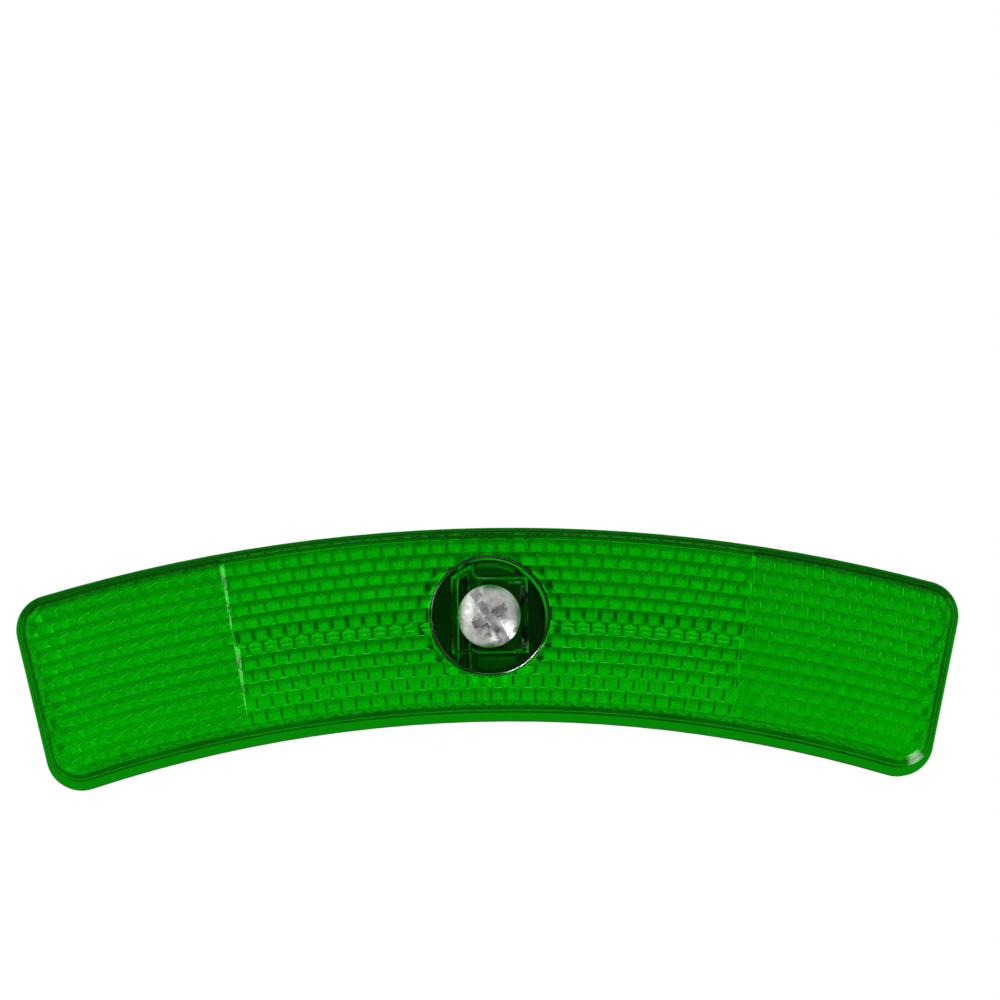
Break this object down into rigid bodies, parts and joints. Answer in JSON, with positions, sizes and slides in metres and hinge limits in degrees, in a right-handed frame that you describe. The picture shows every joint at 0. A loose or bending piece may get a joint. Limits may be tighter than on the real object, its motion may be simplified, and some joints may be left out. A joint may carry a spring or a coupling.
{
  "type": "bicycle spoke reflector",
  "caption": "Arc-shaped green reflector for a wheel: cube-corner lenses front and back on a round hub, with a screw-drawn clip that clamps a spoke.",
  "frame": {"origin": "on the spoke's axis, at the middle of the clamp's groove", "axes": "+Z along the spoke, out to the wheel's rim; the front lens faces -Y; +X to the right seen from the front"},
  "size_m": [0.1358, 0.0195, 0.0368],
  "materials": {
    "green_lens": "clear green acrylic, polished outside, sharp prisms inside",
    "clip_plastic": "dark moulded plastic, fine satin",
    "plated_steel": "bright zinc plating"
  },
  "bodies": {
    "lens_body": {"front_lens": "green_lens", "rear_lens": "green_lens"},
    "clip": {"spoke_clip": "clip_plastic", "clamp_nut": "plated_steel"},
    "screw": {"clamp_screw": "plated_steel"}
  },
  "joints": [
    {"name": "clip_slide", "type": "slide", "parent": "lens_body", "child": "clip", "axis": [0, 1, 0], "range_m": [0, 0.0028]},
    {"name": "screw_turn", "type": "hinge", "parent": "lens_body", "child": "screw", "pos_m": [0.0035, 0, 0], "axis": [0, -1, 0], "range_deg": [0, 1440]}
  ],
  "couplings": [
    {"joint": "screw_turn", "follows": "clip_slide", "rad_per_m": 8975.9}
  ]
}
